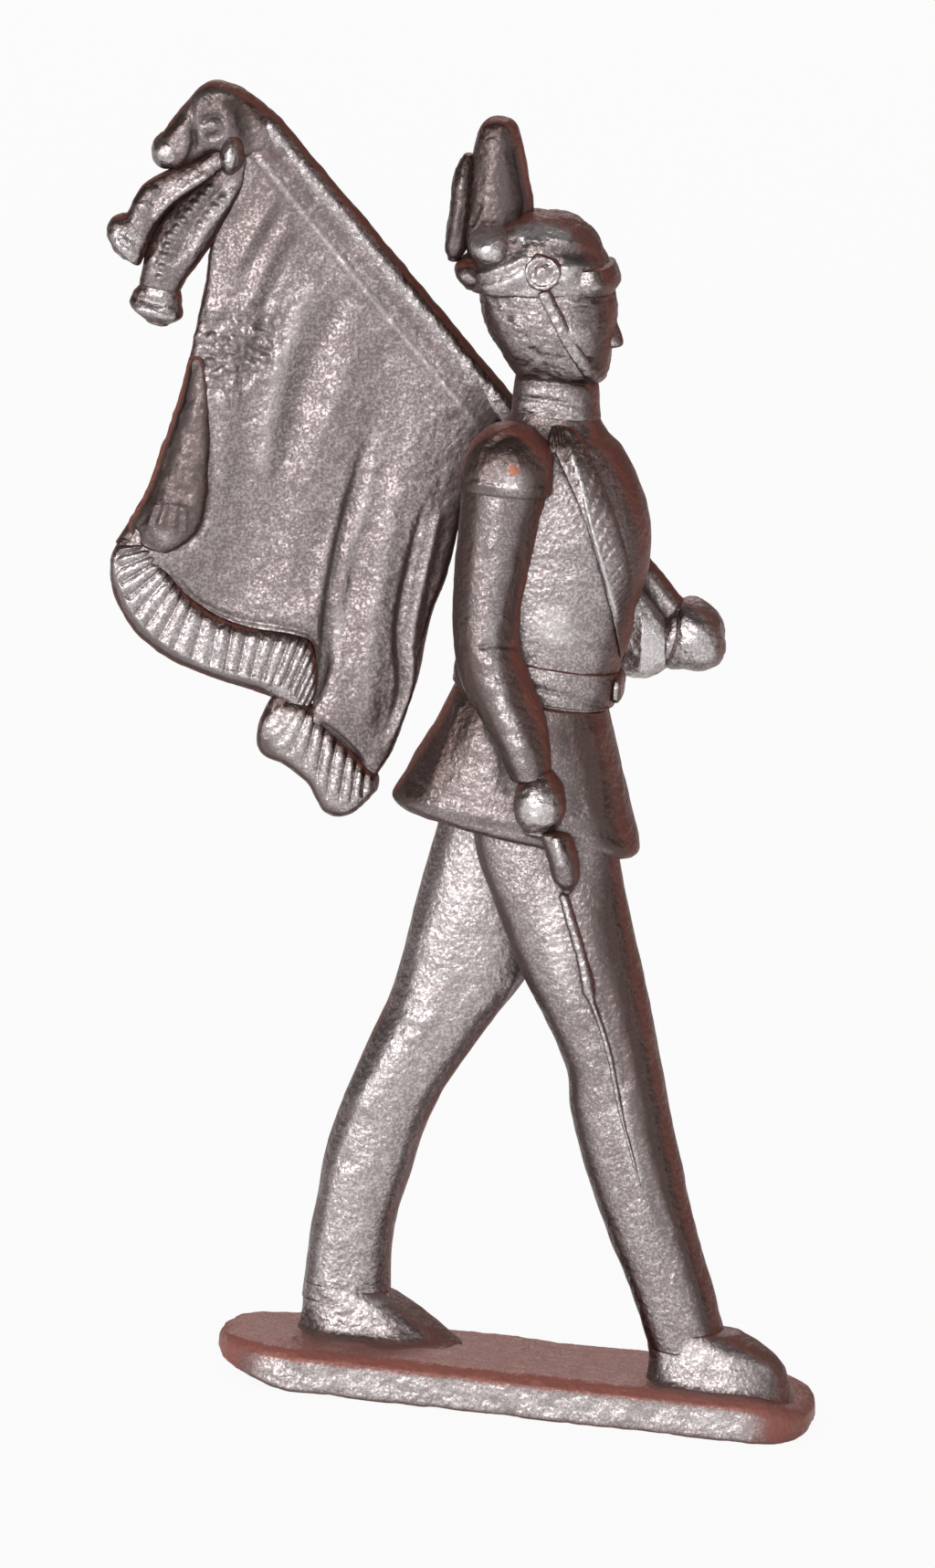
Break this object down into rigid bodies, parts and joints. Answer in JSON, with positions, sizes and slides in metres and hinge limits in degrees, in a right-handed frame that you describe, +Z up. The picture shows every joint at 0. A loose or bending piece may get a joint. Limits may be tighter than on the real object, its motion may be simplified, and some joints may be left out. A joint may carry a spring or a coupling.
{
  "type": "toy soldier figure",
  "caption": "Semi-flat cast metal toy soldier marching on an oblong base, with a plumed cap and a fringed flag on a staff over one shoulder.",
  "frame": {"origin": "middle of the underside of the base plate", "axes": "+X the way that the soldier marches, +Y to the soldier's left, +Z up"},
  "size_m": [0.0392, 0.0094, 0.0632],
  "materials": {
    "figure_metal": "bare cast tin-lead alloy, grainy, worn satin grey with brown recesses",
    "bright_metal": "the same alloy rubbed bright on raised details",
    "flag_metal": "the same alloy, finely grained on the broad flag",
    "base_metal": "the same alloy, red-brown on top and bright along the front edge"
  },
  "bodies": {
    "root": {"base_plate": "base_metal", "left_boot": "figure_metal", "right_boot": "figure_metal", "left_trouser_leg": "figure_metal", "right_trouser_leg": "figure_metal", "trouser_stripe": "bright_metal", "tunic_skirt": "figure_metal", "tunic_body": "figure_metal", "waist_belt": "figure_metal", "belt_buckle": "bright_metal", "bandolier": "figure_metal", "collar": "figure_metal", "head": "figure_metal", "cap": "figure_metal", "cap_peak": "figure_metal", "cap_rear_band": "figure_metal", "ear_rosettes": "bright_metal", "chin_strap": "bright_metal", "plume_holder": "bright_metal", "plume": "figure_metal", "plume_tuft": "figure_metal", "right_sleeve": "figure_metal", "right_shoulder_cap": "figure_metal", "right_hand": "bright_metal", "right_fingers": "figure_metal", "left_sleeve": "figure_metal", "left_shoulder_cap": "figure_metal", "left_cuff": "bright_metal", "left_hand": "bright_metal", "flag_staff": "bright_metal", "flag_cloth": "flag_metal", "flag_rolled_edge": "flag_metal", "flag_fringe": "bright_metal", "flag_corner_fringe": "bright_metal", "ribbon_bow": "figure_metal", "bow_ball": "bright_metal", "bow_knot": "bright_metal", "upper_ribbon": "figure_metal", "lower_ribbon": "figure_metal", "upper_ribbon_end": "bright_metal", "lower_ribbon_end": "bright_metal"}
  },
  "joints": []
}
